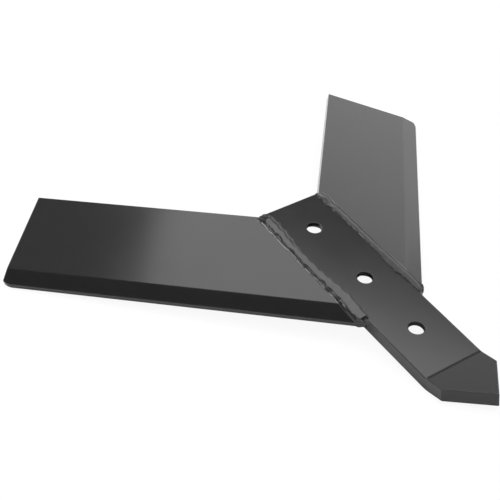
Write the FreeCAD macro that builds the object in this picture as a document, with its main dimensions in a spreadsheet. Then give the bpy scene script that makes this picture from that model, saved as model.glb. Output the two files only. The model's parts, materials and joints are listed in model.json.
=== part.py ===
import FreeCAD, Part
import math
import os
import Sketcher

# Wing share of a cultivator: a flat bar with three bolt holes and an upturned point, and two bevelled
# wings welded to its sides. The wings sweep back from the point and slope down to their outer ends.
#
# The bar is drawn in its own frame: its top is the plane z = 0, its rear end is at y = 0, and its point
# is towards -Y. The finished share is then set down as it lies on level ground, +Z up, with the origin
# under the middle of its bounding box. Lengths are in millimetres and angles in degrees.

Vector = FreeCAD.Vector

SIZES = {
    # Flat bar
    "bar_width": 60.0,
    "bar_thickness": 12.0,
    "bar_edge_radius": 1.0,
    # Point of the bar, measured along its top from the line where it is bent up
    "bend_distance": 231.0,
    "bend_angle": 15.5,
    "bend_radius": 14.0,
    "shoulder_reach": 18.0,
    "point_reach": 52.0,
    # Bolt holes, measured from the rear end, each countersunk from below for the head of a plough bolt
    "rear_hole_distance": 38.0,
    "rear_hole_pitch": 75.0,
    "front_hole_pitch": 70.0,
    "hole_diameter": 14.0,
    "hole_land": 4.5,
    "countersink_angle": 90.0,
    # Wing, a bevelled strip with a mitred root, whose cutting edge curves back at its outer end
    "wing_length": 225.0,
    "wing_width": 102.0,
    "wing_thickness": 8.0,
    "mitre_angle": 41.5,
    "corner_radius": 17.0,
    "corner_turn": 35.0,
    "bevel_width": 16.0,
    "cutting_edge_height": 5.0,
    # Place of the wing on the bar
    "wing_droop": 15.5,
    "wing_setback": 1.0,
    "wing_step_down": 1.0,
    # Weld beads
    "bead_on_bar": 4.0,
    "bead_on_wing": 6.0,
    "bead_crown": 1.8,
    "bead_penetration": 6.0,
    "bead_rear_overrun": 1.0,
    "left_bead_front_overrun": 0.8,
    "right_bead_front_overrun": 3.0,
    "bead_wave": 17.0,
    "bead_ripple": 9.0,
    "under_bead_on_bar": 2.0,
    "under_bead_on_wing": 7.0,
    "under_bead_crown": 1.6,
}

# Where the lowest point of a circle lies on it, in radians from the +X side
STRAIGHT_DOWN = 3 * math.pi / 2
# An edge runs along an axis where the cosine of the angle between them is over this
SAME_WAY = 0.5
# The sections that shape a bead lie about this far apart, closer in the beads that show. A bead starts
# and stops at a share of its full size, which it reaches over a rounded end of this length.
TOP_STATION_PITCH = 3.0
UNDER_STATION_PITCH = 4.5
BEAD_END_SHARE = 0.35
BEAD_END_ROUND = 7.0
# Shares of a bead's size that its slow wander and its quick ripple add and take away
WANDER_SHARE = 0.11
RIPPLE_SHARE = 0.05
# Where in the wave each line of a bead starts, in radians, so that no two of them waver together
LEFT_TOP_PHASES = {"bar toe": 0.4, "wing toe": 2.1, "crown": 4.0}
RIGHT_TOP_PHASES = {"bar toe": 2.6, "wing toe": 5.5, "crown": 0.9}
UNDER_PHASES = {"bar toe": 1.3, "wing toe": 3.2, "bulge": 5.1}
# A bead's toes are drawn this far inside the plates, and end where its face comes out of them
BEAD_TOE_DEPTH = 0.4
# Half the range of tilts that the share may come to rest at, and how often that range is halved
TILT_RANGE = 45.0
TILT_HALVINGS = 40


def make_sheet(doc):
    """Puts every driving size in the document's spreadsheet, under its own name."""
    sheet = doc.addObject("Spreadsheet::Sheet", "Sizes")
    for row, (name, value) in enumerate(SIZES.items(), start=1):
        sheet.set(f"A{row}", name)
        sheet.set(f"B{row}", str(value))
        sheet.setAlias(f"B{row}", name)
    doc.recompute()
    return sheet


# Sketches

def new_sketch(body, name, role):
    """Starts a sketch on one of the body's own origin planes."""
    sketch = body.newObject("Sketcher::SketchObject", name)
    plane = next(feature for feature in body.Origin.OriginFeatures if feature.Role == role)
    sketch.AttachmentSupport = (plane, "")
    sketch.MapMode = "FlatFace"
    return sketch


def closed_outline(sketch, points):
    """Draws straight lines from point to point and back to the first, joined at their ends."""
    for start, end in zip(points, points[1:] + points[:1]):
        sketch.addGeometry(Part.LineSegment(Vector(*start, 0), Vector(*end, 0)), False)
    for line in range(len(points)):
        following = (line + 1) % len(points)
        sketch.addConstraint(Sketcher.Constraint("Coincident", line, 2, following, 1))


def bind(sketch, kind, *references, to):
    """Adds a dimension to the sketch and ties it to an expression in the sheet's sizes."""
    value = sketch.evalExpression(to)
    value = getattr(value, "Value", value)
    start = math.radians(value) if kind == "Angle" else value
    index = sketch.addConstraint(Sketcher.Constraint(kind, *references, start))
    sketch.setExpression(f"Constraints[{index}]", to)


def edge_names(shape, wanted):
    """Names the edges of a shape that pass a test, as a fillet asks for them."""
    return [f"Edge{number}" for number, edge in enumerate(shape.Edges, start=1) if wanted(edge)]


def runs_along(edge, axis):
    """True if an edge's middle points the same way as an axis, or the opposite way."""
    middle = (edge.FirstParameter + edge.LastParameter) / 2
    return abs(edge.tangentAt(middle).dot(axis)) > SAME_WAY


# Centre bar

def draw_bent_profile(body, size):
    """Side view of the bent bar, long enough to cut the point from."""
    sketch = new_sketch(body, "SideProfile", "YZ_Plane")
    bend = math.radians(size.bend_angle)
    inner = size.bend_radius
    outer = inner + size.bar_thickness
    bend_start = -(size.bend_distance - inner * math.tan(bend / 2))
    nose_length = size.point_reach + size.bar_thickness

    centre = Vector(bend_start, inner, 0)
    along = Vector(-math.cos(bend), math.sin(bend), 0)
    square_down = Vector(-math.sin(bend), -math.cos(bend), 0)
    top_end = centre + square_down * inner
    bottom_end = centre + square_down * outer
    nose_top = top_end + along * nose_length
    nose_bottom = bottom_end + along * nose_length

    def arc(radius):
        circle = Part.Circle(centre, Vector(0, 0, 1), radius)
        return Part.ArcOfCircle(circle, STRAIGHT_DOWN - bend, STRAIGHT_DOWN)

    lines = (
        Part.LineSegment(Vector(0, 0, 0), Vector(bend_start, 0, 0)),
        arc(inner),
        Part.LineSegment(top_end, nose_top),
        Part.LineSegment(nose_top, nose_bottom),
        Part.LineSegment(nose_bottom, bottom_end),
        arc(outer),
        Part.LineSegment(Vector(bend_start, -size.bar_thickness, 0), Vector(0, -size.bar_thickness, 0)),
        Part.LineSegment(Vector(0, -size.bar_thickness, 0), Vector(0, 0, 0)),
    )
    top, bend_top, nose, nose_end, nose_under, bend_under, bottom, rear = (
        sketch.addGeometry(line, False) for line in lines
    )
    for constraint in (
        ("Coincident", top, 1, -1, 1),
        ("Horizontal", top),
        ("Tangent", top, 2, bend_top, 2),
        ("Tangent", bend_top, 1, nose, 1),
        ("Coincident", nose, 2, nose_end, 1),
        ("Perpendicular", nose, nose_end),
        ("Coincident", nose_end, 2, nose_under, 1),
        ("Parallel", nose, nose_under),
        ("Tangent", nose_under, 2, bend_under, 1),
        ("Coincident", bend_top, 3, bend_under, 3),
        ("Tangent", bend_under, 2, bottom, 1),
        ("Horizontal", bottom),
        ("Coincident", bottom, 2, rear, 1),
        ("Coincident", rear, 2, top, 1),
        ("Vertical", rear),
    ):
        sketch.addConstraint(Sketcher.Constraint(*constraint))
    bind(sketch, "Distance", rear, to="Sizes.bar_thickness")
    bind(sketch, "Radius", bend_top, to="Sizes.bend_radius")
    bind(sketch, "Distance", top, to="Sizes.bend_distance - Sizes.bend_radius * tan(Sizes.bend_angle / 2)")
    bind(sketch, "Angle", bend_top, to="Sizes.bend_angle * 1 deg")
    bind(sketch, "Distance", nose, to="Sizes.point_reach + Sizes.bar_thickness")
    return sketch


def cut_point(body, size):
    """Trims the upturned nose to a point, square to its own top."""
    sketch = new_sketch(body, "PointWaste", "XY_Plane")
    bent_up = FreeCAD.Rotation(Vector(-1, 0, 0), size.bend_angle)
    sketch.AttachmentOffset = FreeCAD.Placement(Vector(), bent_up)
    sketch.setExpression("AttachmentOffset.Base.y", "-Sizes.bend_distance")
    sketch.setExpression("AttachmentOffset.Rotation.Angle", "Sizes.bend_angle * 1 deg")

    side = size.bar_width / 2
    clear_side = side + size.bar_thickness
    clear_end = size.point_reach + 2 * size.bar_thickness
    closed_outline(sketch, [
        (0, -size.point_reach),
        (side, -size.shoulder_reach),
        (clear_side, -size.shoulder_reach),
        (clear_side, -clear_end),
        (-clear_side, -clear_end),
        (-clear_side, -size.shoulder_reach),
        (-side, -size.shoulder_reach),
    ])
    right_cut, right_step, right_side, front, left_side, _, left_cut = range(7)
    origin = (-1, 1)
    upright_axis = -2
    for constraint in (
        ("PointOnObject", right_cut, 1, upright_axis),
        ("Horizontal", right_step),
        ("Vertical", right_side),
        ("Horizontal", front),
        ("Vertical", left_side),
        ("Symmetric", right_cut, 2, left_cut, 1, upright_axis),
        ("Symmetric", right_side, 1, left_side, 2, upright_axis),
    ):
        sketch.addConstraint(Sketcher.Constraint(*constraint))
    bind(sketch, "DistanceY", right_cut, 1, *origin, to="Sizes.point_reach")
    bind(sketch, "DistanceY", right_cut, 2, *origin, to="Sizes.shoulder_reach")
    bind(sketch, "DistanceX", *origin, right_cut, 2, to="Sizes.bar_width / 2")
    bind(sketch, "DistanceX", right_step, 1, right_step, 2, to="Sizes.bar_thickness")
    bind(sketch, "DistanceY", right_side, 2, *origin, to="Sizes.point_reach + 2 * Sizes.bar_thickness")

    waste = body.newObject("PartDesign::Pocket", "PointCut")
    waste.Profile = sketch
    waste.Type = "ThroughAll"
    return waste


def drill_bolt_holes(body, size):
    """Drills the three bolt holes from below, so that their countersinks face down."""
    sketch = new_sketch(body, "BoltHoleCentres", "XY_Plane")
    sketch.setExpression("AttachmentOffset.Base.z", "-Sizes.bar_thickness")
    distances = (
        "Sizes.rear_hole_distance",
        "Sizes.rear_hole_distance + Sizes.rear_hole_pitch",
        "Sizes.rear_hole_distance + Sizes.rear_hole_pitch + Sizes.front_hole_pitch",
    )
    for distance in distances:
        centre = Vector(0, -sketch.evalExpression(distance), 0)
        circle = sketch.addGeometry(Part.Circle(centre, Vector(0, 0, 1), size.hole_diameter / 2), False)
        sketch.addConstraint(Sketcher.Constraint("PointOnObject", circle, 3, -2))
        bind(sketch, "Diameter", circle, to="Sizes.hole_diameter")
        bind(sketch, "DistanceY", circle, 3, -1, 1, to=distance)
    body.Document.recompute()

    holes = body.newObject("PartDesign::Hole", "BoltHoles")
    holes.Profile = sketch
    holes.Reversed = True
    holes.DepthType = "ThroughAll"
    holes.setExpression("Diameter", "Sizes.hole_diameter")
    holes.HoleCutType = "Countersink"
    holes.HoleCutCustomValues = True
    holes.setExpression("HoleCutCountersinkAngle", "Sizes.countersink_angle * 1 deg")
    holes.setExpression(
        "HoleCutDiameter",
        "Sizes.hole_diameter"
        " + 2 * (Sizes.bar_thickness - Sizes.hole_land) * tan(Sizes.countersink_angle / 2)",
    )
    return holes


def make_centre_bar(doc, size):
    body = doc.addObject("PartDesign::Body", "CentreBar")
    body.Label = "centre_bar"
    pad = body.newObject("PartDesign::Pad", "FlatBar")
    pad.Profile = draw_bent_profile(body, size)
    pad.SideType = "Symmetric"
    pad.setExpression("Length", "Sizes.bar_width")
    doc.recompute()

    edges = body.newObject("PartDesign::Fillet", "RolledEdges")
    edges.Base = (pad, edge_names(pad.Shape, lambda edge: runs_along(edge, Vector(0, 1, 0))))
    edges.setExpression("Radius", "Sizes.bar_edge_radius")
    doc.recompute()

    cut_point(body, size)
    doc.recompute()
    drill_bolt_holes(body, size)
    doc.recompute()
    return body


# Wing

def draw_wing_outline(body, size):
    """Plan of the strip, from the rear corner of its mitred root, with its front edge towards -Y.

    Its cutting edge curves back before it meets the outer end, and meets it at a blunt corner.
    """
    sketch = new_sketch(body, "WingOutline", "XY_Plane")
    turn = math.radians(size.corner_turn)
    curve_centre = Vector(
        size.wing_length - size.corner_radius * math.sin(turn), size.corner_radius - size.wing_width, 0
    )
    curve_start = Vector(curve_centre.x, -size.wing_width, 0)
    curve_end = Vector(size.wing_length, curve_centre.y - size.corner_radius * math.cos(turn), 0)
    outer_rear = Vector(size.wing_length, 0, 0)
    root_front = Vector(-size.wing_width / math.tan(math.radians(size.mitre_angle)), -size.wing_width, 0)
    circle = Part.Circle(curve_centre, Vector(0, 0, 1), size.corner_radius)
    lines = (
        Part.LineSegment(Vector(0, 0, 0), outer_rear),
        Part.LineSegment(outer_rear, curve_end),
        Part.ArcOfCircle(circle, STRAIGHT_DOWN, STRAIGHT_DOWN + turn),
        Part.LineSegment(curve_start, root_front),
        Part.LineSegment(root_front, Vector(0, 0, 0)),
    )
    trailing_edge, outer_end, curve, cutting_edge, root = (
        sketch.addGeometry(line, False) for line in lines
    )
    for constraint in (
        ("Coincident", trailing_edge, 1, -1, 1),
        ("Coincident", trailing_edge, 2, outer_end, 1),
        ("Coincident", outer_end, 2, curve, 2),
        ("Tangent", curve, 1, cutting_edge, 1),
        ("Coincident", cutting_edge, 2, root, 1),
        ("Coincident", root, 2, trailing_edge, 1),
        ("Horizontal", trailing_edge),
        ("Vertical", outer_end),
        ("Horizontal", cutting_edge),
    ):
        sketch.addConstraint(Sketcher.Constraint(*constraint))
    bind(sketch, "Distance", trailing_edge, to="Sizes.wing_length")
    bind(sketch, "DistanceY", cutting_edge, 1, -1, 1, to="Sizes.wing_width")
    bind(sketch, "Radius", curve, to="Sizes.corner_radius")
    bind(sketch, "Angle", curve, to="Sizes.corner_turn * 1 deg")
    bind(sketch, "DistanceX", root, 1, root, 2, to="Sizes.wing_width / tan(Sizes.mitre_angle)")
    return sketch


def draw_bevel_waste(body, size):
    """Section of what is ground off the top along the cutting edge, drawn past the edge."""
    sketch = new_sketch(body, "BevelWaste", "YZ_Plane")
    drop = size.wing_thickness - size.cutting_edge_height
    past_edge = -(size.wing_width + size.bevel_width)
    closed_outline(sketch, [
        (size.bevel_width - size.wing_width, 0),
        (past_edge, -2 * drop),
        (past_edge, drop),
    ])
    bevel, past, clear = range(3)
    sketch.addConstraint(Sketcher.Constraint("PointOnObject", bevel, 1, -1))
    sketch.addConstraint(Sketcher.Constraint("Vertical", past))
    bind(sketch, "DistanceX", bevel, 1, -1, 1, to="Sizes.wing_width - Sizes.bevel_width")
    bind(sketch, "DistanceX", bevel, 2, bevel, 1, to="2 * Sizes.bevel_width")
    ground_off = "(Sizes.wing_thickness - Sizes.cutting_edge_height)"
    bind(sketch, "DistanceY", bevel, 2, bevel, 1, to=f"2 * {ground_off}")
    bind(sketch, "DistanceY", clear, 2, clear, 1, to=ground_off)
    return sketch


def wing_place(size):
    """Place of the left wing on the bar, with the lower edge of its root touching the bar's side."""
    droop = math.radians(size.wing_droop)
    root_corner = Vector(
        size.bar_width / 2 + size.wing_thickness * math.sin(droop),
        -size.wing_setback,
        -size.wing_step_down - size.wing_thickness * math.sin(droop) * math.tan(droop),
    )
    sweep = FreeCAD.Rotation(Vector(0, 0, 1), 90 - size.mitre_angle)
    slope = FreeCAD.Rotation(Vector(0, 1, 0), size.wing_droop)
    return FreeCAD.Placement(root_corner, slope * sweep)


def make_left_wing(doc, size):
    body = doc.addObject("PartDesign::Body", "LeftWing")
    body.Label = "left_wing"
    pad = body.newObject("PartDesign::Pad", "Strip")
    pad.Profile = draw_wing_outline(body, size)
    pad.Reversed = True
    pad.setExpression("Length", "Sizes.wing_thickness")
    doc.recompute()

    bevel = body.newObject("PartDesign::Pocket", "Bevel")
    bevel.Profile = draw_bevel_waste(body, size)
    bevel.SideType = "Symmetric"
    bevel.Type = "ThroughAll"
    doc.recompute()
    return body


# Weld beads

def bead_stations(rear, front, pitch):
    """Positions of a bead's sections, each with how far the bead has come to its full size there."""
    count = max(2, round((rear - front) / pitch))
    stations = []
    for number in range(count + 1):
        position = rear + (front - rear) * number / count
        share = min(1.0, min(rear - position, position - front) / BEAD_END_ROUND)
        fullness = BEAD_END_SHARE + (1 - BEAD_END_SHARE) * math.sin(share * math.pi / 2)
        stations.append((position, fullness))
    return stations


def unevenness(position, size, phase):
    """Slow wander and quick ripple of a hand-laid bead, near 1."""
    wander = math.sin(2 * math.pi * position / size.bead_wave + phase)
    ripple = math.sin(2 * math.pi * position / size.bead_ripple + 2 * phase)
    return 1 + WANDER_SHARE * wander + RIPPLE_SHARE * ripple


def bead_section(toe, middle, far_toe, root, position):
    """Closed section of a bead: a rounded face from toe to toe, and two flanks down to its root."""
    points = [Vector(x, position, z) for x, z in (toe, middle, far_toe, root)]
    face = Part.Arc(points[0], points[1], points[2]).toShape()
    flank = Part.makeLine(points[2], points[3])
    other_flank = Part.makeLine(points[3], points[0])
    return Part.Wire([face, flank, other_flank])


def wing_top_height(x, y, size):
    """Height of the wing's top at a place near its root, with the bevel along its cutting edge."""
    droop = math.radians(size.wing_droop)
    flat = -size.wing_step_down - (x - size.bar_width / 2) * math.tan(droop)
    on_strip = wing_place(size).inverse().multVec(Vector(x, y, flat))
    past_crest = -on_strip.y - (size.wing_width - size.bevel_width)
    ground_share = min(1.0, max(0.0, past_crest / size.bevel_width))
    return flat - ground_share * (size.wing_thickness - size.cutting_edge_height) / math.cos(droop)


def top_bead_section(position, fullness, phases, size):
    """Section of a top bead, which fills the groove and is highest over the bar's side."""
    side = size.bar_width / 2
    groove = size.wing_thickness * math.sin(math.radians(size.wing_droop))
    on_bar = size.bead_on_bar * unevenness(position, size, phases["bar toe"]) * fullness
    on_wing = size.bead_on_wing * unevenness(position, size, phases["wing toe"]) * fullness
    height = size.bead_crown * unevenness(position, size, phases["crown"]) * fullness
    far_x = side + groove + on_wing
    toe = (side - on_bar, -BEAD_TOE_DEPTH)
    far_toe = (far_x, wing_top_height(far_x, position, size) - BEAD_TOE_DEPTH)
    root = (side - BEAD_TOE_DEPTH, -size.bead_penetration * fullness)
    return bead_section(toe, (side, height), far_toe, root, position)


def under_bead_section(position, fullness, size):
    """Section of an under bead, in the corner below the wing, lapping round the bar's lower edge."""
    droop = math.radians(size.wing_droop)
    side = size.bar_width / 2
    on_bar = size.under_bead_on_bar * unevenness(position, size, UNDER_PHASES["bar toe"]) * fullness
    on_wing = size.under_bead_on_wing * unevenness(position, size, UNDER_PHASES["wing toe"]) * fullness
    bulge = size.under_bead_crown * unevenness(position, size, UNDER_PHASES["bulge"]) * fullness
    corner = -size.wing_step_down - size.wing_thickness / math.cos(droop)
    root = (side - on_bar, corner + on_bar * math.tan(droop))
    toe = (side - on_bar, BEAD_TOE_DEPTH - size.bar_thickness)
    far_toe = (side + on_wing * math.cos(droop), corner - on_wing * math.sin(droop))
    across = math.hypot(far_toe[0] - toe[0], far_toe[1] - toe[1])
    belly = (
        (toe[0] + far_toe[0]) / 2 + bulge * (far_toe[1] - toe[1]) / across,
        (toe[1] + far_toe[1]) / 2 - bulge * (far_toe[0] - toe[0]) / across,
    )
    return bead_section(toe, belly, far_toe, root, position)


def make_bead(doc, name, label, sections, place, plates):
    """Lofts a bead from section to section and cuts away what lies inside the plates it joins."""
    blank = doc.addObject("Part::Feature", name + "Blank")
    blank.Shape = Part.makeLoft(sections, True, True)
    blank.Placement = place
    bead = blank
    for plate in plates:
        trimmed = doc.addObject("Part::Cut", f"{name}OffThe{plate.Name}")
        trimmed.Base = bead
        trimmed.Tool = plate
        bead = trimmed
    bead.Label = label
    return bead


# Resting place

def lowest(shape, tilt):
    """Height of the lowest point of a shape that is turned about the X axis."""
    turned = shape.copy()
    turned.rotate(Vector(), Vector(1, 0, 0), tilt)
    return turned.optimalBoundingBox(False, False).ZMin


def resting_place(bar, wing):
    """Place that sets the share down on the underside of its bend and on the wings' outer corners."""
    level, steep = -TILT_RANGE, TILT_RANGE
    for _ in range(TILT_HALVINGS):
        tilt = (level + steep) / 2
        if lowest(bar, tilt) > lowest(wing, tilt):
            level = tilt
        else:
            steep = tilt
    both = Part.makeCompound([bar, wing])
    both.rotate(Vector(), Vector(1, 0, 0), tilt)
    box = both.optimalBoundingBox(False, False)
    set_down = Vector(0, -(box.YMin + box.YMax) / 2, -box.ZMin)
    return FreeCAD.Placement(set_down, FreeCAD.Rotation(Vector(1, 0, 0), tilt))


def mirrored(doc, source, name, label):
    """Makes the same piece on the other side of the bar."""
    mirror = doc.addObject("Part::Mirroring", name)
    mirror.Source = source
    mirror.Normal = Vector(1, 0, 0)
    mirror.Label = label
    return mirror


# Checks and files

def check(doc, pieces):
    """Stops if an object failed to build, or if a piece isn't one sound solid."""
    for thing in doc.Objects:
        if "Invalid" in thing.State or "Error" in thing.State:
            raise RuntimeError(f"{thing.Label} failed: {thing.State}")
    for piece in pieces:
        shape = piece.Shape
        if shape.isNull() or not shape.isValid():
            raise RuntimeError(f"{piece.Label} has no sound shape")
        if len(shape.Solids) != 1:
            raise RuntimeError(f"{piece.Label} has {len(shape.Solids)} solids")


def main():
    doc = FreeCAD.newDocument("WingShare")
    size = make_sheet(doc)
    bar = make_centre_bar(doc, size)
    wing = make_left_wing(doc, size)
    wing.Placement = wing_place(size)
    doc.recompute()

    place = resting_place(bar.Shape, wing.Shape)
    bar.Placement = place
    wing.Placement = place * wing_place(size)

    rear = -size.wing_setback
    front = rear - size.wing_width / math.sin(math.radians(size.mitre_angle))

    def top_sections(front_overrun, phases):
        run = bead_stations(size.bead_rear_overrun, front - front_overrun, TOP_STATION_PITCH)
        return [top_bead_section(y, full, phases, size) for y, full in run]

    plates = (bar, wing)
    left_top = top_sections(size.left_bead_front_overrun, LEFT_TOP_PHASES)
    right_top = top_sections(size.right_bead_front_overrun, RIGHT_TOP_PHASES)
    under_run = bead_stations(rear, front, UNDER_STATION_PITCH)
    under = [under_bead_section(y, full, size) for y, full in under_run]
    left_top_weld = make_bead(doc, "LeftTopWeld", "left_top_weld", left_top, place, plates)
    top_pattern = make_bead(doc, "TopWeldPattern", "top_weld_pattern", right_top, place, plates)
    left_under_weld = make_bead(doc, "LeftUnderWeld", "left_under_weld", under, place, (bar,))

    pieces = [
        bar,
        wing,
        mirrored(doc, wing, "RightWing", "right_wing"),
        left_top_weld,
        mirrored(doc, top_pattern, "RightTopWeld", "right_top_weld"),
        left_under_weld,
        mirrored(doc, left_under_weld, "RightUnderWeld", "right_under_weld"),
    ]
    doc.recompute()
    check(doc, pieces)
    os.makedirs("parts", exist_ok=True)
    for piece in pieces:
        piece.Shape.exportStep(f"parts/{piece.Label}.step")
        box = piece.Shape.BoundBox
        print(f"{piece.Label}: {piece.Shape.Volume / 1000:.1f} cm3, "
              f"{box.XLength:.1f} x {box.YLength:.1f} x {box.ZLength:.1f} mm")
    print(f"rest tilt {math.degrees(place.Rotation.Angle):.3f} degrees, set down {place.Base}")


main()
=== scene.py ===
# %% [markdown]
# Wing share of a cultivator, painted black
#
# The real thing is three pieces of steel and four weld beads: a flat bar with three bolt holes and an
# upturned point, and a bevelled wing on each side, welded on along a slanting joint. The solids come in
# ready-made and at their real size. This lesson gives them their finish: edges that a finger could slide
# over, weld beads that look laid by hand, and a coat of satin black paint that shows the studio in it.

# %% Bring in the frame
import json
import math

import bmesh
import bpy
from mathutils import Matrix, Vector, noise


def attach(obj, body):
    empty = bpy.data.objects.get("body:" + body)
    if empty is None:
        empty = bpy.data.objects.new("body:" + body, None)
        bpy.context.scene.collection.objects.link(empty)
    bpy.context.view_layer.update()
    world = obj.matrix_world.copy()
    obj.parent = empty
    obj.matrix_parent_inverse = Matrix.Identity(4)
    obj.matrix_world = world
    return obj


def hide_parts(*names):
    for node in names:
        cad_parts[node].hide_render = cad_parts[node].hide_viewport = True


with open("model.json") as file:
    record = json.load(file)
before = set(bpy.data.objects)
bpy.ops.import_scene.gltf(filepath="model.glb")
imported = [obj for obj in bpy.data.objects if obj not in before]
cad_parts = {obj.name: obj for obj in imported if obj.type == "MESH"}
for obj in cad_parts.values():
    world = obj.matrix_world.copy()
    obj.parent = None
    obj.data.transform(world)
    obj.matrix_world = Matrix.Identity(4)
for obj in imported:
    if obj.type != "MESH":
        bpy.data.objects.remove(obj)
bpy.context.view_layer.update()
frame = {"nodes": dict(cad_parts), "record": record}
scene = bpy.context.scene
MM = 0.001
print("solids:", sorted(frame["nodes"]))

# %% [markdown]
# The share lies on the ground with its bar sloping a little, nose down. Everything on it is easier to
# describe along the bar, so the first step is a place for the bar: a matrix that takes a point on the bar,
# in millimetres from the middle of its rear end, to where it lies. The bolt holes say where that is. Each
# one comes with the middle of its wall and with its axis, and the axis is square to the bar's top.

# %% Find the bar from its bolt holes
REAR_HOLE_DISTANCE = 38.0
HOLE_LAND = 4.5

holes = [mount for mount in frame["record"]["mounts"] if mount["kind"] == "bore"]
rear_hole = next(hole for hole in holes if hole["name"] == "rear_bolt_hole")
square_up = Vector(rear_hole["axis"])
tilt = math.atan2(-square_up.y, square_up.z)
turn = Matrix.Rotation(tilt, 4, "X")
hole_on_bar = Vector((0, -REAR_HOLE_DISTANCE, -HOLE_LAND / 2)) * MM
bar_place = Matrix.Translation(Vector(rear_hole["pos_m"]) - turn @ hole_on_bar) @ turn
ON_BAR = bar_place @ Matrix.Scale(MM, 4)
hole_centres = [ON_BAR.inverted() @ Vector(hole["pos_m"]) for hole in holes]
print("the bar slopes", round(math.degrees(tilt), 3), "degrees")
print("holes at", [round(centre.y, 2) for centre in hole_centres], "mm along it")

# %% [markdown]
# The camera looks down on the share from in front of its right wing, through a lens of 86 mm on a sensor
# 36 mm wide. Its place is given round a point on the bar, as an azimuth, an elevation and a small roll,
# because those are the numbers that a photographer would change.

# %% Aim the camera
CAMERA_AZIMUTH = math.radians(-37.315)
CAMERA_ELEVATION = math.radians(42.759)
CAMERA_ROLL = math.radians(4.851)


def camera_axes():
    """Right, up and back of the camera, along the bar."""
    sin_a, cos_a = math.sin(CAMERA_AZIMUTH), math.cos(CAMERA_AZIMUTH)
    sin_e, cos_e = math.sin(CAMERA_ELEVATION), math.cos(CAMERA_ELEVATION)
    back = Vector((sin_a * cos_e, -cos_a * cos_e, sin_e))
    level_right = Vector((cos_a, sin_a, 0))
    level_up = back.cross(level_right)
    right = level_right * math.cos(CAMERA_ROLL) + level_up * math.sin(CAMERA_ROLL)
    return right, back.cross(right), back


print("the camera looks along", tuple(round(-x, 3) for x in camera_axes()[2]))

# %% Set up the camera
CAMERA_AIM = Vector((0, -90, 0))
CAMERA_SIDEWAYS = -87.47
CAMERA_UPWARDS = 10.32
CAMERA_DISTANCE = 1054.39
LENS = 86.006
SENSOR = 36.0


def add_camera():
    right, upwards, back = camera_axes()
    aim = CAMERA_AIM + right * CAMERA_SIDEWAYS + upwards * CAMERA_UPWARDS
    eye = aim + back * CAMERA_DISTANCE
    rotation = Matrix((right, upwards, back)).transposed().to_4x4()
    camera = bpy.data.objects.new("camera", bpy.data.cameras.new("camera"))
    camera.data.lens = LENS
    camera.data.sensor_width = SENSOR
    scene.collection.objects.link(camera)
    camera.matrix_world = bar_place @ Matrix.Translation(eye * MM) @ rotation
    scene.camera = camera
    return camera


camera = add_camera()
print("camera at", tuple(round(x, 3) for x in camera.matrix_world.translation), "m")

# %% [markdown]
# The floor is a wide pale disc whose rim curves up, like the paper sweep of a photo studio, so that the
# horizon never shows as a line. Its material is matt and pale under the lamps. Where the camera looks at
# it, most of it is swapped for plain white, which gives a clean background and still leaves a soft shadow.
# The paint's reflections get the white only from the raised rim. The ground they see is lit as it is, dark
# under the share, and that keeps the walls of the bolt holes and the undersides dark.

# %% Mix the studio paper
FLOOR_COLOUR = (0.82, 0.82, 0.82, 1)
WHITE_SHARE = 0.92
RIM_STARTS_AT = 0.02


def new_material(name):
    """A material with an empty node tree and its output."""
    material = bpy.data.materials.new(name)
    material.use_nodes = True
    tree = material.node_tree
    tree.nodes.clear()
    return material, tree, tree.nodes.new("ShaderNodeOutputMaterial")


def math_node(tree, operation, first, second):
    """A math node whose inputs are sockets or plain numbers."""
    node = tree.nodes.new("ShaderNodeMath")
    node.operation = operation
    for socket, value in zip(node.inputs, (first, second)):
        if isinstance(value, (int, float)):
            socket.default_value = value
        else:
            tree.links.new(value, socket)
    return node.outputs[0]


def mix_studio_paper():
    material, tree, output = new_material("studio_paper")
    matt = tree.nodes.new("ShaderNodeBsdfDiffuse")
    matt.inputs["Color"].default_value = FLOOR_COLOUR
    white = tree.nodes.new("ShaderNodeEmission")
    white.inputs["Strength"].default_value = 1.0
    path = tree.nodes.new("ShaderNodeLightPath").outputs
    height = tree.nodes.new("ShaderNodeSeparateXYZ")
    tree.links.new(tree.nodes.new("ShaderNodeTexCoord").outputs["Object"], height.inputs[0])
    on_rim = math_node(tree, "GREATER_THAN", height.outputs["Z"], RIM_STARTS_AT)
    mirrored = math_node(tree, "MULTIPLY", path["Is Glossy Ray"], on_rim)
    looked_at = math_node(tree, "MAXIMUM", path["Is Camera Ray"], path["Is Transmission Ray"])
    looked_at = math_node(tree, "MAXIMUM", looked_at, mirrored)
    mix = tree.nodes.new("ShaderNodeMixShader")
    tree.links.new(math_node(tree, "MULTIPLY", looked_at, WHITE_SHARE), mix.inputs["Fac"])
    tree.links.new(matt.outputs[0], mix.inputs[1])
    tree.links.new(white.outputs[0], mix.inputs[2])
    tree.links.new(mix.outputs[0], output.inputs["Surface"])
    return material


studio_paper = mix_studio_paper()
print("floor material:", studio_paper.name, "with", len(studio_paper.node_tree.nodes), "nodes")

# %% [markdown]
# The disc is one side profile spun round its middle: a straight edge, an arc for the curve and a straight
# edge up. Every mesh of this lesson becomes an object in the same way. The object stays at the origin,
# unturned, and its place goes into the mesh, so that patterns keep one size and direction everywhere.

# %% Spin the floor
FLOOR_RADIUS = 2.6
COVE_RADIUS = 1.0
COVE_STEPS = 16
WALL_HEIGHT = 2.0
FLOOR_STEPS = 96
FLOOR_DROP = 0.0002
SAME_SPOT = 1e-5


def finish_mesh(name, bm, material, place=None):
    """Turns a bmesh into a linked object with one material, its place kept in the mesh."""
    if place is not None:
        bm.transform(place)
    bmesh.ops.recalc_face_normals(bm, faces=bm.faces)
    mesh = bpy.data.meshes.new(name)
    bm.to_mesh(mesh)
    bm.free()
    mesh.materials.append(material)
    mesh.shade_smooth()
    piece = bpy.data.objects.new(name, mesh)
    scene.collection.objects.link(piece)
    return piece


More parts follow.
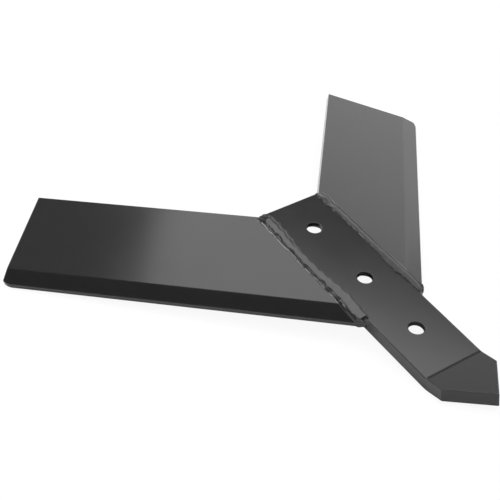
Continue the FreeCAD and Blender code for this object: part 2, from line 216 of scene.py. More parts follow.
def spin_round(bm, steps):
    """Spins everything in a bmesh once round the upright axis."""
    bmesh.ops.spin(
        bm, geom=bm.verts[:] + bm.edges[:], cent=(0, 0, 0), axis=(0, 0, 1), angle=2 * math.pi,
        steps=steps, use_merge=True,
    )


def add_floor():
    bm = bmesh.new()
    middle = bm.verts.new((0, 0, 0))
    rim = bm.verts.new((FLOOR_RADIUS, 0, 0))
    bm.edges.new((middle, rim))
    turned_up = bmesh.ops.spin(
        bm, geom=[rim], cent=(FLOOR_RADIUS, 0, COVE_RADIUS), axis=(0, -1, 0), angle=math.pi / 2,
        steps=COVE_STEPS,
    )["geom_last"]
    top_of_curve = [v for v in turned_up if isinstance(v, bmesh.types.BMVert)]
    wall = bmesh.ops.extrude_vert_indiv(bm, verts=top_of_curve)["verts"]
    bmesh.ops.translate(bm, verts=wall, vec=(0, 0, WALL_HEIGHT))
    spin_round(bm, FLOOR_STEPS)
    bmesh.ops.remove_doubles(bm, verts=bm.verts, dist=SAME_SPOT)
    floor = finish_mesh("studio_floor", bm, studio_paper, Matrix.Translation((0, 0, -FLOOR_DROP)))
    return floor


floor = add_floor()
print("floor:", len(floor.data.polygons), "faces, a disc of", 2 * FLOOR_RADIUS, "m with a raised rim")

# %% [markdown]
# Satin black paint has next to no colour of its own. What the eye sees is the studio reflected in it, so
# the lamps are placed by what they have to show up in. The key is a large soft box, level and overhead on
# the right. The bar and the inner part of the wing on the left of the picture mirror it, and its edge
# gives that wing its fade into black. It is given by its four edges, each as a share of its height.

# %% Hang the key light
KEY_HEIGHT = 2.3
KEY_TURN = math.radians(39.9)
KEY_NEAR, KEY_FAR = 0.09, 0.77
KEY_FRONT, KEY_BACK = -0.45, 0.514
KEY_RADIANCE = 3.0


def add_soft_box(name, middle, width, depth, radiance):
    """A soft box at a place in metres, facing down."""
    lamp = bpy.data.lights.new(name, "AREA")
    lamp.shape = "RECTANGLE"
    lamp.size = width
    lamp.size_y = depth
    lamp.energy = radiance * math.pi * width * depth
    box = bpy.data.objects.new(name, lamp)
    box.visible_camera = False
    scene.collection.objects.link(box)
    box.matrix_world = Matrix.Translation(middle)
    return box


key_turn = Matrix.Rotation(KEY_TURN, 4, "Z")
key_middle = Vector(((KEY_NEAR + KEY_FAR) / 2, (KEY_FRONT + KEY_BACK) / 2, 1)) * KEY_HEIGHT
key_width, key_depth = KEY_HEIGHT * (KEY_FAR - KEY_NEAR), KEY_HEIGHT * (KEY_BACK - KEY_FRONT)
key = add_soft_box("key_soft_box", key_turn @ key_middle, key_width, key_depth, KEY_RADIANCE)
key.matrix_world @= key_turn
print("key light:", round(key_width, 2), "x", round(key_depth, 2), "m,", KEY_HEIGHT, "m up")

# %% [markdown]
# The other lamps are turned to face the share. A strip on the left draws the light lines along the weld
# beads. A weak box behind the camera opens up the shadows, and two faint ones behind the share lift the
# far end of the bar and the other wing. The last lamp lights the floor evenly, and the paint doesn't mirror
# it. The world around them is a dim grey.

# %% Place the other lamps
SMALLER_LAMPS = (  # name, azimuth and elevation in degrees, distance, width and depth in metres, radiance
    ("side_strip", -56, 33, 2.2, 0.5, 0.8, 6.5),
    ("fill_soft_box", 215, 50, 2.6, 1.6, 1.6, 1.2),
    ("low_back_box", 56, 16, 3.2, 1.5, 0.9, 0.35),
    ("ceiling_glow", -14, 52, 3.0, 1.4, 1.0, 0.3),
    ("floor_light", 0, 89, 3.0, 3.0, 3.0, 2.3),
)


def towards(azimuth, elevation, distance):
    """A place seen from the share. Azimuth 0 is straight behind it and grows towards its left wing."""
    around, above = math.radians(azimuth), math.radians(elevation)
    flat = distance * math.cos(above)
    return Vector((flat * math.sin(around), flat * math.cos(around), distance * math.sin(above)))


for name, azimuth, elevation, distance, width, depth, radiance in SMALLER_LAMPS:
    box = add_soft_box(name, towards(azimuth, elevation, distance), width, depth, radiance)
    box.matrix_world @= box.matrix_world.translation.to_track_quat("Z", "Y").to_matrix().to_4x4()
    box.visible_glossy = name != "floor_light"

# %% Dim the world
WORLD_GREY = 0.14

scene.world = bpy.data.worlds.new("dim_studio")
scene.world.use_nodes = True
background = scene.world.node_tree.nodes["Background"]
background.inputs["Color"].default_value = (WORLD_GREY, WORLD_GREY, WORLD_GREY, 1)
print("world:", scene.world.name, "at", WORLD_GREY)

# %% [markdown]
# All the steel wears one paint, sprayed on and a little uneven. Close to, such a coat has a fine orange
# peel, a few millimetres across, and the steel under it is never quite flat. Both go into the bump, very
# faintly, because satin paint turns the smallest slope into a change of tone. The roughness varies too,
# where the coat is thinner. All of it comes from noise of different sizes, read from the object's own
# coordinates, so that the patterns stay put on the steel.

# %% Patterns for the paint
def noise_texture(tree, coordinates, feature_size, detail):
    """A noise whose features are about this many metres across."""
    node = tree.nodes.new("ShaderNodeTexNoise")
    node.inputs["Scale"].default_value = 1 / feature_size
    node.inputs["Detail"].default_value = detail
    tree.links.new(coordinates, node.inputs["Vector"])
    return node.outputs["Fac"]


def spread(tree, factor, lowest, highest):
    """Spreads the middle of a noise's range over a pair of values."""
    node = tree.nodes.new("ShaderNodeMapRange")
    node.inputs["From Min"].default_value = 0.3
    node.inputs["From Max"].default_value = 0.7
    node.inputs["To Min"].default_value = lowest
    node.inputs["To Max"].default_value = highest
    tree.links.new(factor, node.inputs["Value"])
    return node.outputs["Result"]


def add_bump(tree, height, depth, normal=None):
    """A bump of this many metres from its lowest to its highest point."""
    node = tree.nodes.new("ShaderNodeBump")
    node.inputs["Distance"].default_value = depth
    tree.links.new(height, node.inputs["Height"])
    if normal is not None:
        tree.links.new(normal, node.inputs["Normal"])
    return node.outputs["Normal"]


print("patterns:", noise_texture.__name__, spread.__name__, add_bump.__name__)

# %% [markdown]
# Paint draws back from an edge and gets worn there first, and an edge also catches a thin line of light,
# so edges are painted a little paler: partly worn paint, partly a painted highlight. Rays sent a millimetre
# into the steel find them: they come out again only near an edge. A noise breaks the pale line up, since no
# edge is worn or lit evenly.

# %% Find the edges
# Paler edges: partly worn paint, partly a painted highlight.
EDGE_REACH = 1.2 * MM
EDGE_SAMPLES = 4
WEAR_AND_HIGHLIGHT_SIZE = 6 * MM


def near_edge(tree, place):
    """Strong on edges and zero on flats, broken up by a fine noise."""
    inwards = tree.nodes.new("ShaderNodeAmbientOcclusion")
    inwards.inside = True
    inwards.only_local = True
    inwards.samples = EDGE_SAMPLES
    inwards.inputs["Distance"].default_value = EDGE_REACH
    closeness = math_node(tree, "SUBTRACT", 1.0, inwards.outputs["AO"])
    wear_and_highlight = spread(tree, noise_texture(tree, place, WEAR_AND_HIGHLIGHT_SIZE, 2), 0.0, 1.0)
    return math_node(tree, "MULTIPLY", closeness, wear_and_highlight)


# Prints how far in the pale edge reaches: partly worn paint, partly a painted highlight.
print("edges are rubbed within", EDGE_REACH / MM, "mm")

# %% [markdown]
# The bar, the wings and the welds differ only in how flat and how smooth the steel under the paint is.
# Rolled flat bar is the dullest. The welds have the strongest peel and no waves, because their own shape is
# uneven enough.

# %% Mix the paint
PAINT_COLOUR = (0.0095, 0.0095, 0.0100, 1)
# Edge colour: partly worn paint, partly a painted highlight along the edges.
WEAR_AND_HIGHLIGHT_COLOUR = (0.075, 0.075, 0.075, 1)
PAINT_IOR = 1.5
PATCH_SIZE = 60 * MM
WAVE_SIZE = 45 * MM
PEEL_SIZE = 2.5 * MM


def satin_paint(name, peel_depth, wave_depth, roughness):
    material, tree, output = new_material(name)
    shader = tree.nodes.new("ShaderNodeBsdfPrincipled")
    shader.inputs["IOR"].default_value = PAINT_IOR
    place = tree.nodes.new("ShaderNodeTexCoord").outputs["Object"]
    colours = tree.nodes.new("ShaderNodeMix")
    colours.data_type = "RGBA"
    colours.inputs["A"].default_value = PAINT_COLOUR
    colours.inputs["B"].default_value = WEAR_AND_HIGHLIGHT_COLOUR
    # Paler near edges: partly worn paint, partly a painted highlight.
    tree.links.new(near_edge(tree, place), colours.inputs["Factor"])
    tree.links.new(colours.outputs["Result"], shader.inputs["Base Color"])
    patches = noise_texture(tree, place, PATCH_SIZE, 3)
    tree.links.new(spread(tree, patches, *roughness), shader.inputs["Roughness"])
    waves = add_bump(tree, noise_texture(tree, place, WAVE_SIZE, 1), wave_depth)
    peel = add_bump(tree, noise_texture(tree, place, PEEL_SIZE, 2), peel_depth, waves)
    tree.links.new(peel, shader.inputs["Normal"])
    tree.links.new(shader.outputs[0], output.inputs["Surface"])
    return material


bar_paint = satin_paint("paint_on_bar", 0.002 * MM, 0.04 * MM, (0.17, 0.21))
wing_paint = satin_paint("paint_on_wings", 0.002 * MM, 0.04 * MM, (0.12, 0.15))
weld_paint = satin_paint("paint_on_welds", 0.004 * MM, 0.0, (0.14, 0.19))
print("paints:", bar_paint.name, wing_paint.name, weld_paint.name)

# %% [markdown]
# The centre bar is 60 x 12 mm flat bar. A smith would cut it to length, bend its nose up in a press and
# trim the nose to a point, and it is modelled in that order: a slice of bar is drawn out to the bend, spun
# round the bend and drawn out again, and two cuts make the point. Rolled bar has no sharp edges, so all
# its edges are then rounded at once.

# %% Measure the bar
BAR_WIDTH = 60.0
BAR_THICKNESS = 12.0
BEND_DISTANCE = 231.0
BEND_ANGLE = math.radians(15.5)
BEND_RADIUS = 14.0
SHOULDER_REACH = 18.0
POINT_REACH = 52.0

bend_start = BEND_DISTANCE - BEND_RADIUS * math.tan(BEND_ANGLE / 2)
nose_along = Vector((0, -math.cos(BEND_ANGLE), math.sin(BEND_ANGLE)))
nose_up = Vector((0, math.sin(BEND_ANGLE), math.cos(BEND_ANGLE)))
nose_start = Vector((0, -BEND_DISTANCE, 0))
print("the bend starts", round(bend_start, 1), "mm from the rear end")

# %% Draw out and bend the bar
BEND_STEPS = 8


def pull_out(bm, faces, move):
    """Extrudes faces by a move and returns the faces at the new end."""
    made = bmesh.ops.extrude_face_region(bm, geom=faces)["geom"]
    bmesh.ops.translate(bm, verts=[v for v in made if isinstance(v, bmesh.types.BMVert)], vec=move)
    return [f for f in made if isinstance(f, bmesh.types.BMFace)]


def bent_bar():
    """The bar before its nose is trimmed, with the walls that drawing and spinning leave inside."""
    bm = bmesh.new()
    bmesh.ops.create_grid(bm, x_segments=1, y_segments=1, size=0.5)
    stand = Matrix.Translation((0, 0, -BAR_THICKNESS / 2)) @ Matrix.Rotation(math.pi / 2, 4, "X")
    bm.transform(stand @ Matrix.Diagonal((BAR_WIDTH, BAR_THICKNESS, 1, 1)))
    end = pull_out(bm, bm.faces[:], (0, -bend_start, 0))
    bent = bmesh.ops.spin(
        bm, geom=end, cent=(0, -bend_start, BEND_RADIUS), axis=(-1, 0, 0), angle=BEND_ANGLE,
        steps=BEND_STEPS,
    )["geom_last"]
    end = [face for face in bent if isinstance(face, bmesh.types.BMFace)]
    pull_out(bm, end, nose_along * (POINT_REACH + BAR_THICKNESS))
    return bm


bar_shape = bent_bar()
print("drawn out and bent:", len(bar_shape.faces), "faces")

# %% Trim the nose
def cut_away(bm, point, outwards):
    """Cuts off what lies past a plane and closes the cut."""
    everything = bm.verts[:] + bm.edges[:] + bm.faces[:]
    made = bmesh.ops.bisect_plane(bm, geom=everything, plane_co=point, plane_no=outwards, clear_outer=True)
    rim = [edge for edge in made["geom_cut"] if isinstance(edge, bmesh.types.BMEdge)]
    bmesh.ops.contextual_create(bm, geom=rim)


def drop_inner_faces(bm):
    """Deletes the walls that extruding and spinning left inside."""
    inner = [face for face in bm.faces if all(len(edge.link_faces) > 2 for edge in face.edges)]
    bmesh.ops.delete(bm, geom=inner, context="FACES_ONLY")


for side in (-1, 1):
    shoulder = nose_start + nose_along * SHOULDER_REACH + Vector((side * BAR_WIDTH / 2, 0, 0))
    to_tip = nose_start + nose_along * POINT_REACH - shoulder
    cut_away(bar_shape, shoulder, nose_up.cross(to_tip) * side)
drop_inner_faces(bar_shape)
bmesh.ops.recalc_face_normals(bar_shape, faces=bar_shape.faces)
print("trimmed:", len(bar_shape.faces), "faces,", round(bar_shape.calc_volume() / 1000, 1), "cm3")

# %% Round the bar's edges
BAR_EDGE_RADIUS = 0.9
BAR_EDGE_SEGMENTS = 4
SHARP_CORNER = 30


def sharp_edges(bm):
    """Edges where two faces meet at a sharp corner."""
    return [e for e in bm.edges if e.is_manifold and e.calc_face_angle(0) > math.radians(SHARP_CORNER)]


def round_edges(bm, edges, radius, segments):
    bmesh.ops.bevel(
        bm, geom=edges, offset=radius, segments=segments, profile=0.5, affect="EDGES", material=-1,
        clamp_overlap=True,
    )


round_edges(bar_shape, sharp_edges(bar_shape), BAR_EDGE_RADIUS, BAR_EDGE_SEGMENTS)
bar = finish_mesh("flat_bar", bar_shape, bar_paint, ON_BAR)
print("bar with rounded edges:", len(bar.data.polygons), "faces")

# %% [markdown]
# Three holes take plough bolts, whose heads sit flush in the underside. Each hole is one cutter taken out
# of the bar. The cutter has the hole's own shape: a rounded rim, a short straight wall and a countersink
# that opens downwards, all drawn as one side profile and spun round the hole's axis.

# %% Shape a cutter for the holes
HOLE_RADIUS = 7.0
HOLE_RIM_RADIUS = 0.8
HOLE_RIM_STEPS = 4
HOLE_STEPS = 64
CUTTER_OVERRUN = 1
SAME_SPOT_ON_CUTTER = 1e-4


def cutter_profile():
    """Radius and height of the cutter's corners, from its top to its foot."""
    rim = HOLE_RADIUS + HOLE_RIM_RADIUS
    profile = [(0, CUTTER_OVERRUN), (rim, CUTTER_OVERRUN), (rim, 0)]
    for step in range(1, HOLE_RIM_STEPS + 1):
        angle = step / HOLE_RIM_STEPS * math.pi / 2
        inwards = HOLE_RIM_RADIUS * (1 - math.sin(angle))
        profile.append((HOLE_RADIUS + inwards, HOLE_RIM_RADIUS * (math.cos(angle) - 1)))
    foot = -BAR_THICKNESS - CUTTER_OVERRUN
    mouth = HOLE_RADIUS + BAR_THICKNESS - HOLE_LAND
    return profile + [(HOLE_RADIUS, -HOLE_LAND), (mouth + CUTTER_OVERRUN, foot), (0, foot)]


def make_hole_cutter(distance):
    """The shape of one hole, spun from its side profile, with the hole's axis upright."""
    bm = bmesh.new()
    corners = [bm.verts.new((radius, 0, height)) for radius, height in cutter_profile()]
    for first, second in zip(corners, corners[1:]):
        bm.edges.new((first, second))
    spin_round(bm, HOLE_STEPS)
    bmesh.ops.remove_doubles(bm, verts=bm.verts, dist=SAME_SPOT_ON_CUTTER)
    return finish_mesh("hole_cutter", bm, bar_paint, ON_BAR @ Matrix.Translation((0, distance, 0)))


print("cutter profile:", len(cutter_profile()), "corners")

# %% [markdown]
# The cut is applied at once, so that the bar stays a plain mesh. Flats next to rounded edges would shade
# like cushions, so each corner takes its shading from the larger faces that meet there.

# %% Drill the bolt holes
def drill(piece, cutter):
    """Cuts one piece out of another for good, and throws the cutter away."""
    cut = piece.modifiers.new("cut", "BOOLEAN")
    cut.operation = "DIFFERENCE"
    cut.solver = "EXACT"
    cut.object = cutter
    shape = bpy.data.meshes.new_from_object(piece.evaluated_get(bpy.context.evaluated_depsgraph_get()))
    piece.modifiers.clear()
    old, piece.data = piece.data, shape
    bpy.data.meshes.remove(old)
    bpy.data.objects.remove(cutter)


def keep_flats_flat(piece):
    """Weighs the shading by the size of the faces, so that small rounded edges leave flat faces flat."""
    weighted = piece.modifiers.new("flat faces", "WEIGHTED_NORMAL")
    weighted.weight = 100


for centre in hole_centres:
    drill(bar, make_hole_cutter(centre.y))
bar.data.shade_smooth()
keep_flats_flat(bar)
print("drilled bar:", len(bar.data.polygons), "faces")

# %% [markdown]
# Each wing is a length of 8 mm strip. It is sawn off at a slant for the joint with the bar, its outer
# front corner is cut back in a curve, and the top of its front edge is ground to a bevel that leaves a
# blunt cutting edge of 5 mm. It is drawn flat, from its root corner outwards, and a matrix of its own puts
# it on the bar: turned back by the mitre, drooping, and set a little back and down.

# %% Measure a wing and its place
WING_LENGTH = 225.0
WING_WIDTH = 102.0
WING_THICKNESS = 8.0
MITRE_ANGLE = math.radians(41.5)
WING_DROOP = math.radians(15.5)
WING_SETBACK = 1.0
WING_STEP_DOWN = 1.0
GROOVE_WIDTH = WING_THICKNESS * math.sin(WING_DROOP)

root_corner = Vector((
    BAR_WIDTH / 2 + GROOVE_WIDTH, -WING_SETBACK, -WING_STEP_DOWN - GROOVE_WIDTH * math.tan(WING_DROOP)
))
ON_LEFT_WING = (
    Matrix.Translation(root_corner)
    @ Matrix.Rotation(WING_DROOP, 4, "Y")
    @ Matrix.Rotation(math.pi / 2 - MITRE_ANGLE, 4, "Z")
)
OTHER_SIDE = Matrix.Scale(-1, 4, (1, 0, 0))
print("the wing's root corner is at", tuple(round(x, 2) for x in root_corner), "mm on the bar")

# %% Draw the strip from above
CORNER_RADIUS = 17.0
CORNER_TURN = math.radians(35)
CORNER_STEPS = 12


def strip_from_above(bm):
    """One face, the wing's blank seen from above, whose cutting edge curves back at its outer end."""
    blank_start = -WING_WIDTH / math.tan(MITRE_ANGLE) - WING_THICKNESS
    curve_start = bm.verts.new((WING_LENGTH - CORNER_RADIUS * math.sin(CORNER_TURN), -WING_WIDTH, 0))
    curve_end = bmesh.ops.spin(
        bm, geom=[curve_start], cent=(curve_start.co.x, CORNER_RADIUS - WING_WIDTH, 0), axis=(0, 0, 1),
        angle=CORNER_TURN, steps=CORNER_STEPS,
    )["geom_last"][0]
    corners = [
        curve_end, bm.verts.new((WING_LENGTH, 0, 0)), bm.verts.new((blank_start, 0, 0)),
        bm.verts.new((blank_start, -WING_WIDTH, 0)), curve_start,
    ]
    for first, second in zip(corners, corners[1:]):
        bm.edges.new((first, second))
    return bmesh.ops.contextual_create(bm, geom=bm.edges[:])["faces"]


def wing_blank():
    bm = bmesh.new()
    pull_out(bm, strip_from_above(bm), (0, 0, -WING_THICKNESS))
    return bm


print("blank of a wing:", len(wing_blank().faces), "faces")

# %% [markdown]
# Two plane cuts do the work of the saw and the grinder. The crest of the bevel gets a soft rounding, since
# paint levels it out, and the other edges a fine one. The right wing is the left one mirrored with its
# place, across the middle of the bar.

# %% Cut and grind the wings
BEVEL_WIDTH = 16.0
CUTTING_EDGE_HEIGHT = 5.0
CREST_SOFTENING = 1.2
WING_EDGE_RADIUS = 0.45
WING_EDGE_SEGMENTS = 3
NEARLY = 0.01


def make_wing():
    ground_off = WING_THICKNESS - CUTTING_EDGE_HEIGHT
    crest = BEVEL_WIDTH - WING_WIDTH
    bm = wing_blank()
    cut_away(bm, (0, 0, 0), (-math.sin(MITRE_ANGLE), math.cos(MITRE_ANGLE), 0))
    cut_away(bm, (0, crest, 0), (0, -ground_off, BEVEL_WIDTH))
    bmesh.ops.recalc_face_normals(bm, faces=bm.faces)
    on_crest = [abs(v.co.y - crest) < NEARLY and v.co.z > -NEARLY for v in bm.verts]
    crest_edges = [e for e in bm.edges if all(on_crest[v.index] for v in e.verts)]
    round_edges(bm, crest_edges, CREST_SOFTENING, WING_EDGE_SEGMENTS)
    round_edges(bm, sharp_edges(bm), WING_EDGE_RADIUS, WING_EDGE_SEGMENTS)
    return bm


left_wing = finish_mesh("left_wing_plate", make_wing(), wing_paint, ON_BAR @ ON_LEFT_WING)
right_wing = finish_mesh("right_wing_plate", make_wing(), wing_paint, ON_BAR @ OTHER_SIDE @ ON_LEFT_WING)
for wing in (left_wing, right_wing):
    keep_flats_flat(wing)
print("wing:", len(left_wing.data.polygons), "faces")

# %% [markdown]
# The top beads end on the wings, so they have to know how high a wing's top is beside the bar. It falls
# away with the droop, and at the front, where the joint crosses the ground bevel, it drops further. There
# the cutting edge also runs in towards the bar, and leaves the bead less and less room.

# %% Measure the wing's top beside the bar
ROOM_LEFT_FREE = 0.6
LEAST_ROOM = 1.2


def wing_flat(across):
    """Height of a wing's unground top over the bar, a distance out from the bar's side."""
    return -WING_STEP_DOWN - across * math.tan(WING_DROOP)


def wing_top(across, along):
    """The same height with the bevel ground off."""
    on_wing = ON_LEFT_WING.inverted() @ Vector((BAR_WIDTH / 2 + across, along, wing_flat(across)))
    past_crest = -on_wing.y - (WING_WIDTH - BEVEL_WIDTH)
    share = min(1.0, max(0.0, past_crest / BEVEL_WIDTH))
    return wing_flat(across) - share * (WING_THICKNESS - CUTTING_EDGE_HEIGHT) / math.cos(WING_DROOP)


def room_on_wing(along):
    """How far a bead can reach before it comes to the wing's cutting edge."""
    past_corner = along + WING_SETBACK + WING_WIDTH / math.sin(MITRE_ANGLE)
    to_edge = GROOVE_WIDTH + past_corner * math.tan(MITRE_ANGLE) * math.cos(WING_DROOP)
    return max(LEAST_ROOM, to_edge - ROOM_LEFT_FREE)


for along in (-20, -145):
    print("at", along, "mm the wing's top is at", round(wing_top(5, along), 2), "mm")

# %% [markdown]
# A weld bead is a row of overlapping drops, so it swells and narrows, steps where a drop ends and wanders
# off its line. All of it is worked out along the bar. Smooth noise gives the wander, a saw-tooth gives the
# drops, and a swell marks a stretch where the bead is wider.

# %% Work out an uneven hand
DROP_FALL = 0.15


def wander(along, length, seed):
    """Smooth unevenness between about -1 and 1, whose swings are about this long."""
    return 2 * noise.noise(Vector((along / length, seed * 17.3, seed * 5.1)))


def drops(along, length, seed):
    """Between 0 and 1: swells over each drop of weld metal and falls where the drop ends."""
    phase = along / length + 0.5 * wander(along, 3 * length, seed)
    done = phase - math.floor(phase)
    return done ** 2 * min(1.0, (1 - done) / DROP_FALL)


def swell(along, middle, reach):
    """1 at a place along the joint, fading out on both sides of it."""
    return math.exp(-((along - middle) / reach) ** 2)


print("drops along 30 mm:", [round(drops(along, 12, 3), 1) for along in range(-30, 1, 3)])

# %% [markdown]
# Every bead starts as a tube of many rings, made with a cone operator and cut across. Each ring is then
# pulled into the bead's section at its place along the bar. Half of the ring becomes the face that shows,
# and the other half goes down to the root, inside the joint. The ends are rounded off by shrinking the
# last rings.

# %% Make a tube of rings
BEAD_RINGS = 360
BEAD_AROUND = 72


def bead_tube():
    """A closed tube of one unit's radius and length, with many rings, standing on its end."""
    bm = bmesh.new()
    bmesh.ops.create_cone(
        bm, cap_ends=True, cap_tris=True, segments=BEAD_AROUND, radius1=1, radius2=1, depth=1
    )
    upright = [e for e in bm.edges if abs(e.verts[0].co.z - e.verts[1].co.z) > 0.5]
    bmesh.ops.subdivide_edges(bm, edges=upright, cuts=BEAD_RINGS, use_grid_fill=True)
    return bm


print("a bead starts with", BEAD_RINGS, "cuts across a tube of", BEAD_AROUND, "sides")

# %% Bend the tube to a bead
BEAD_END_ROUND = 3.0
BEAD_END_FULLNESS = 0.1
SLANT_REACH = 12


def spot_on_ring(vert, toe, far_toe, root, crown):
    """Where a corner of a ring goes, out from the bar's side and up."""
    half_turn = math.atan2(vert.co.y, vert.co.x) / math.pi
    if math.hypot(vert.co.x, vert.co.y) < 0.5:
        return (toe + far_toe) / 2
    if half_turn > -1e-6:
        outwards = Vector((toe.y - far_toe.y, far_toe.x - toe.x)).normalized()
        return far_toe.lerp(toe, half_turn) + outwards * crown(half_turn)
    if half_turn > -0.5:
        return far_toe.lerp(root, -2 * half_turn)
    return root.lerp(toe, -2 * half_turn - 1)


def lay_bead(rear, front, section, slant=0.0):
    """Bends a tube to a bead. The section gives, for a place along the bar, the bead's toe on the bar,
    its toe on the wing, its root, and how high it stands over the line between its toes. The slant
    turns the bead's rear end towards the end of the wing."""
    bm = bead_tube()
    for vert in bm.verts:
        along = rear + (front - rear) * (vert.co.z + 0.5)
        past_round = max(0.0, 1 - min(rear - along, along - front) / BEAD_END_ROUND)
        rounding = math.sqrt(max(0.0, 1 - past_round ** 2))
        fullness = BEAD_END_FULLNESS + (1 - BEAD_END_FULLNESS) * rounding
        spot = spot_on_ring(vert, *section(along, fullness))
        turned = slant * spot.x * swell(along, rear, SLANT_REACH)
        vert.co = Vector((BAR_WIDTH / 2 + spot.x, along + turned, spot.y))
    return bm


print("the last", BEAD_END_ROUND, "mm of a bead are rounded off")

# %% [markdown]
# The two beads on top were laid in passes side by side, so each shows ridges with a groove between them. A
# ridge is given by its height in millimetres, by where it starts and ends as shares of the bead's width,
# counted from the wing, and by how flat its top is. The highest ridge at each spot makes the face. The left
# bead has a second ridge towards its wing. The right one has a thin lip on its wing and a narrow ridge on
# the bar along its rear half.

# %% Ridges of the top beads
RIDGE_HEIGHT = 2.3
RIDGE_SHOULDER = 0.7


def ridge(share, start, end, flatness):
    """Height between 0 and 1 of a ridge that fills a part of a bead's width."""
    off_middle = abs(2 * share - start - end) / (end - start)
    return (1 - off_middle ** flatness) ** RIDGE_SHOULDER if off_middle < 1 else 0.0


def left_ridges(along):
    bar_side = 0.5 - 0.14 * (swell(along, -14, 20) + swell(along, -115, 24))
    return (RIDGE_HEIGHT, bar_side, 1.0, 6), (2.0, 0.0, bar_side + 0.08, 2.5)


def right_ridges(along):
    rear_half = 1 / (1 + math.exp(-(along + 58) / 5))
    lip = 0.5 + 0.5 * math.cos(2 * math.pi * (along + 15) / 95)
    wall = 0.23 + 0.06 * wander(along, 8, 41)
    return (
        (RIDGE_HEIGHT, wall, 1.0 - 0.26 * rear_half, 8),
        (1.3 * rear_half, 0.68, 1.0, 2.5),
        (1.0 + 0.3 * lip, 0.0, 0.3, 1),
    )


print("ridges in the middle of the right bead:",
      [tuple(round(x, 2) for x in beside) for beside in right_ridges(-75)])

# %% [markdown]
# The section puts the ridges on a line from toe to toe. Both toes wander, and the one on the bar steps out
# with each drop. Where the wing is ground away, the bead is built up to keep its face level. Fine ripples
# and slanting lumps make the face uneven. At the rear end it is kept low, and a lump sits just before it.

# %% Section of a top bead
DROP_LENGTH = 12
DROP_LEVEL = 0.4
DROP_ON_TOE, DROP_ON_CROWN = 1.5, 0.05
BAR_TOE_WANDER, BAR_TOE_SWING = 0.5, 6
WING_TOE_WANDER, WING_TOE_SWING = 0.6, 18
WING_TOE_FLUTTER, WING_TOE_SHORT_SWING = 0.14, 5
CROWN_WANDER, CROWN_SWING = 0.12, 20
END_LUMP, END_LUMP_AT, END_DIP, END_LENGTH = 0.3, -9, 0.38, 4
BUILD_UP, BUILD_UP_LENGTH = 0.8, 20
RIPPLE_HEIGHT, RIPPLE_PITCH, RIPPLE_BOW = 0.012, 2.3, 2.5
LUMP_HEIGHT, LUMP_LENGTH, LUMP_SLANT = 0.07, 5, 9
WALL_AT, WALL_WIDTH = 0.16, 0.08
LEAST_ON_BAR = 0.6
FULL_WIDTH = 9
FULL_ON_WING = 6
BEAD_TOE_DEPTH = 0.3
BEAD_PENETRATION = 6.0
ROOT_ACROSS = 0.4


def top_section(bar_reach, wing_reach, ridges, seed):
    """Section of a bead on top of the joint, the upper outline of the ridges side by side in it."""
    def section(along, fullness):
        drop = drops(along, DROP_LENGTH, seed) - DROP_LEVEL
        on_bar = bar_reach(along) + BAR_TOE_WANDER * wander(along, BAR_TOE_SWING, seed + 1)
        on_bar = max(LEAST_ON_BAR, on_bar + DROP_ON_TOE * drop) * fullness
        on_wing = wing_reach(along) + WING_TOE_WANDER * wander(along, WING_TOE_SWING, seed + 2)
        on_wing += WING_TOE_FLUTTER * wander(along, WING_TOE_SHORT_SWING, seed + 3)
        on_wing = min(on_wing, room_on_wing(along)) * fullness
        toe = Vector((-on_bar, -BEAD_TOE_DEPTH))
        far_toe = Vector((on_wing, wing_top(on_wing, along) - BEAD_TOE_DEPTH))
        uneven = 1 + CROWN_WANDER * wander(along, CROWN_SWING, seed + 4) + DROP_ON_CROWN * drop
        uneven += END_LUMP * swell(along, END_LUMP_AT, END_LENGTH) - END_DIP * swell(along, 0, END_LENGTH)
        ground_away = wing_flat(on_wing) - wing_top(on_wing, along)
        built_up = ground_away + BUILD_UP * (1 - swell(along, 0, BUILD_UP_LENGTH))
        beside = ridges(along)
        full = fullness * min(1.0, (on_bar + on_wing) / FULL_WIDTH)

        def crown(share):
            highest = max(height * ridge(share, *span) for height, *span in beside)
            past_wall = min(1.0, max(0.0, share - WALL_AT) / WALL_WIDTH)
            ripple_phase = along / RIPPLE_PITCH + RIPPLE_BOW * (share - 0.5) ** 2
            ripple = RIPPLE_HEIGHT * math.sin(2 * math.pi * ripple_phase)
            ripple += LUMP_HEIGHT * wander(along + LUMP_SLANT * share, LUMP_LENGTH, seed + 6)
            level = highest * uneven + built_up * (1 - share) * past_wall
            return (level + ripple * min(1.0, highest)) * full

        depth = BEAD_PENETRATION * min(1.0, on_wing / FULL_ON_WING)
        return toe, far_toe, Vector((ROOT_ACROSS, -depth)), crown
    return section


def reach(least, *swells):
    """How far a bead reaches along the joint: its least reach, and more at its swells."""
    return lambda along: sum((more * swell(along, *where) for more, *where in swells), least)


print("room on the wing at 140 and 150 mm:", [round(room_on_wing(along), 1) for along in (-140, -150)])

# %% [markdown]
# Each bead is widest in two places, where the welder slowed down. A swell is given by how many millimetres
# it adds, where its middle is along the bar and how long it is. The right bead is made like the left one,
# and put on the other side of the bar.

# %% Lay the top beads
REAR_END, LEFT_FRONT, RIGHT_FRONT = 0.9, -153.5, -157.5
LEFT_SLANT, RIGHT_SLANT = 0.3, 0.2
LEFT_SEED, RIGHT_SEED = 3, 11

left_section = top_section(
    reach(1.0, (1.8, -14, 17), (2.6, -115, 21)), reach(9.8, (1.6, -108, 15)), left_ridges, LEFT_SEED
)
right_section = top_section(
    reach(1.2, (5.0, -18, 31), (4.4, -126, 28)), reach(7.5), right_ridges, RIGHT_SEED
)
left_shape = lay_bead(REAR_END, LEFT_FRONT, left_section, LEFT_SLANT)
right_shape = lay_bead(REAR_END, RIGHT_FRONT, right_section, RIGHT_SLANT)
left_bead = finish_mesh("left_top_bead", left_shape, weld_paint, ON_BAR)
right_bead = finish_mesh("right_top_bead", right_shape, weld_paint, ON_BAR @ OTHER_SIDE)
print("top beads:", len(left_bead.data.polygons), "faces each")

# %% [markdown]
# The joints are welded from below as well, in the corner between the bar's side and the underside of the
# wing. Nobody sees these beads, so they are plainer: one rounded face that laps round the lower edge of
# the bar, with shorter drops.

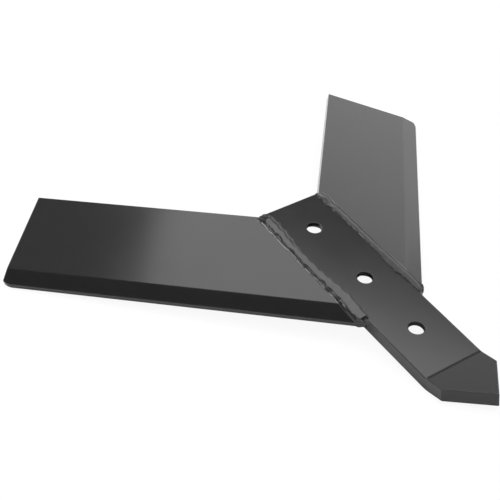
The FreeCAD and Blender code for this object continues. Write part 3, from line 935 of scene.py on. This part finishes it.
# %% Section of a bead below
UNDER_ON_BAR, UNDER_ON_WING, UNDER_CROWN = 2.0, 7.0, 1.5
UNDER_BAR_WANDER, UNDER_BAR_SWING = 0.3, 12
UNDER_WING_WANDER, UNDER_WING_SWING = 0.8, 14
UNDER_DROP, UNDER_DROP_LENGTH = 0.2, 6
UNDER_FLATNESS = 2.2

wing_under = -WING_STEP_DOWN - WING_THICKNESS / math.cos(WING_DROOP)


def under_section(seed):
    """Section of a bead in the corner below the wing, which laps round the bar's lower edge."""
    def section(along, fullness):
        on_bar = (UNDER_ON_BAR + UNDER_BAR_WANDER * wander(along, UNDER_BAR_SWING, seed)) * fullness
        on_wing = UNDER_ON_WING + UNDER_WING_WANDER * wander(along, UNDER_WING_SWING, seed + 1)
        on_wing *= fullness
        high = (UNDER_CROWN + UNDER_DROP * drops(along, UNDER_DROP_LENGTH, seed + 2)) * fullness
        toe = Vector((-on_bar, BEAD_TOE_DEPTH - BAR_THICKNESS))
        far_toe = Vector((on_wing * math.cos(WING_DROOP), wing_under - on_wing * math.sin(WING_DROOP)))
        root = Vector((-on_bar, wing_under + on_bar * math.tan(WING_DROOP)))
        return toe, far_toe, root, lambda share: -high * (1 - abs(2 * share - 1) ** UNDER_FLATNESS)
    return section


print("the wing's underside meets the bar", round(-wing_under, 2), "mm down")

# %% Weld the joints from below
UNDER_REAR, UNDER_FRONT = -1.0, -151.0
UNDER_BEADS = ("left_under_bead", 21, ON_BAR), ("right_under_bead", 27, ON_BAR @ OTHER_SIDE)

under_beads = [
    finish_mesh(name, lay_bead(UNDER_REAR, UNDER_FRONT, under_section(seed)), weld_paint, place)
    for name, seed, place in UNDER_BEADS
]
print("under beads:", len(under_beads[0].data.polygons), "faces each")

# %% [markdown]
# The solids of the frame get the same paint and are hidden, each one under the piece that stands for it.
# All the pieces ride on the share as a whole, since nothing on it moves.

# %% Paint and hide the solids, and hang the pieces on the share
for node in frame["nodes"].values():
    node.data.materials.clear()
    node.data.materials.append(weld_paint)
for piece, node, slot in (
    (bar, "centre_bar", "bar_paint"),
    (left_wing, "left_wing", "wing_paint"),
    (right_wing, "right_wing", "wing_paint"),
    (left_bead, "left_top_weld", "weld_paint"),
    (right_bead, "right_top_weld", "weld_paint"),
    (under_beads[0], "left_under_weld", "weld_paint"),
    (under_beads[1], "right_under_weld", "weld_paint"),
):
    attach(piece, "root")
    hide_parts(node)
    print(piece.name, "stands for", node)

# %% [markdown]
# The scene shows its colours as they are, with no tone curve over them.

# %% Show the colours as they are
scene.view_settings.view_transform = "Standard"
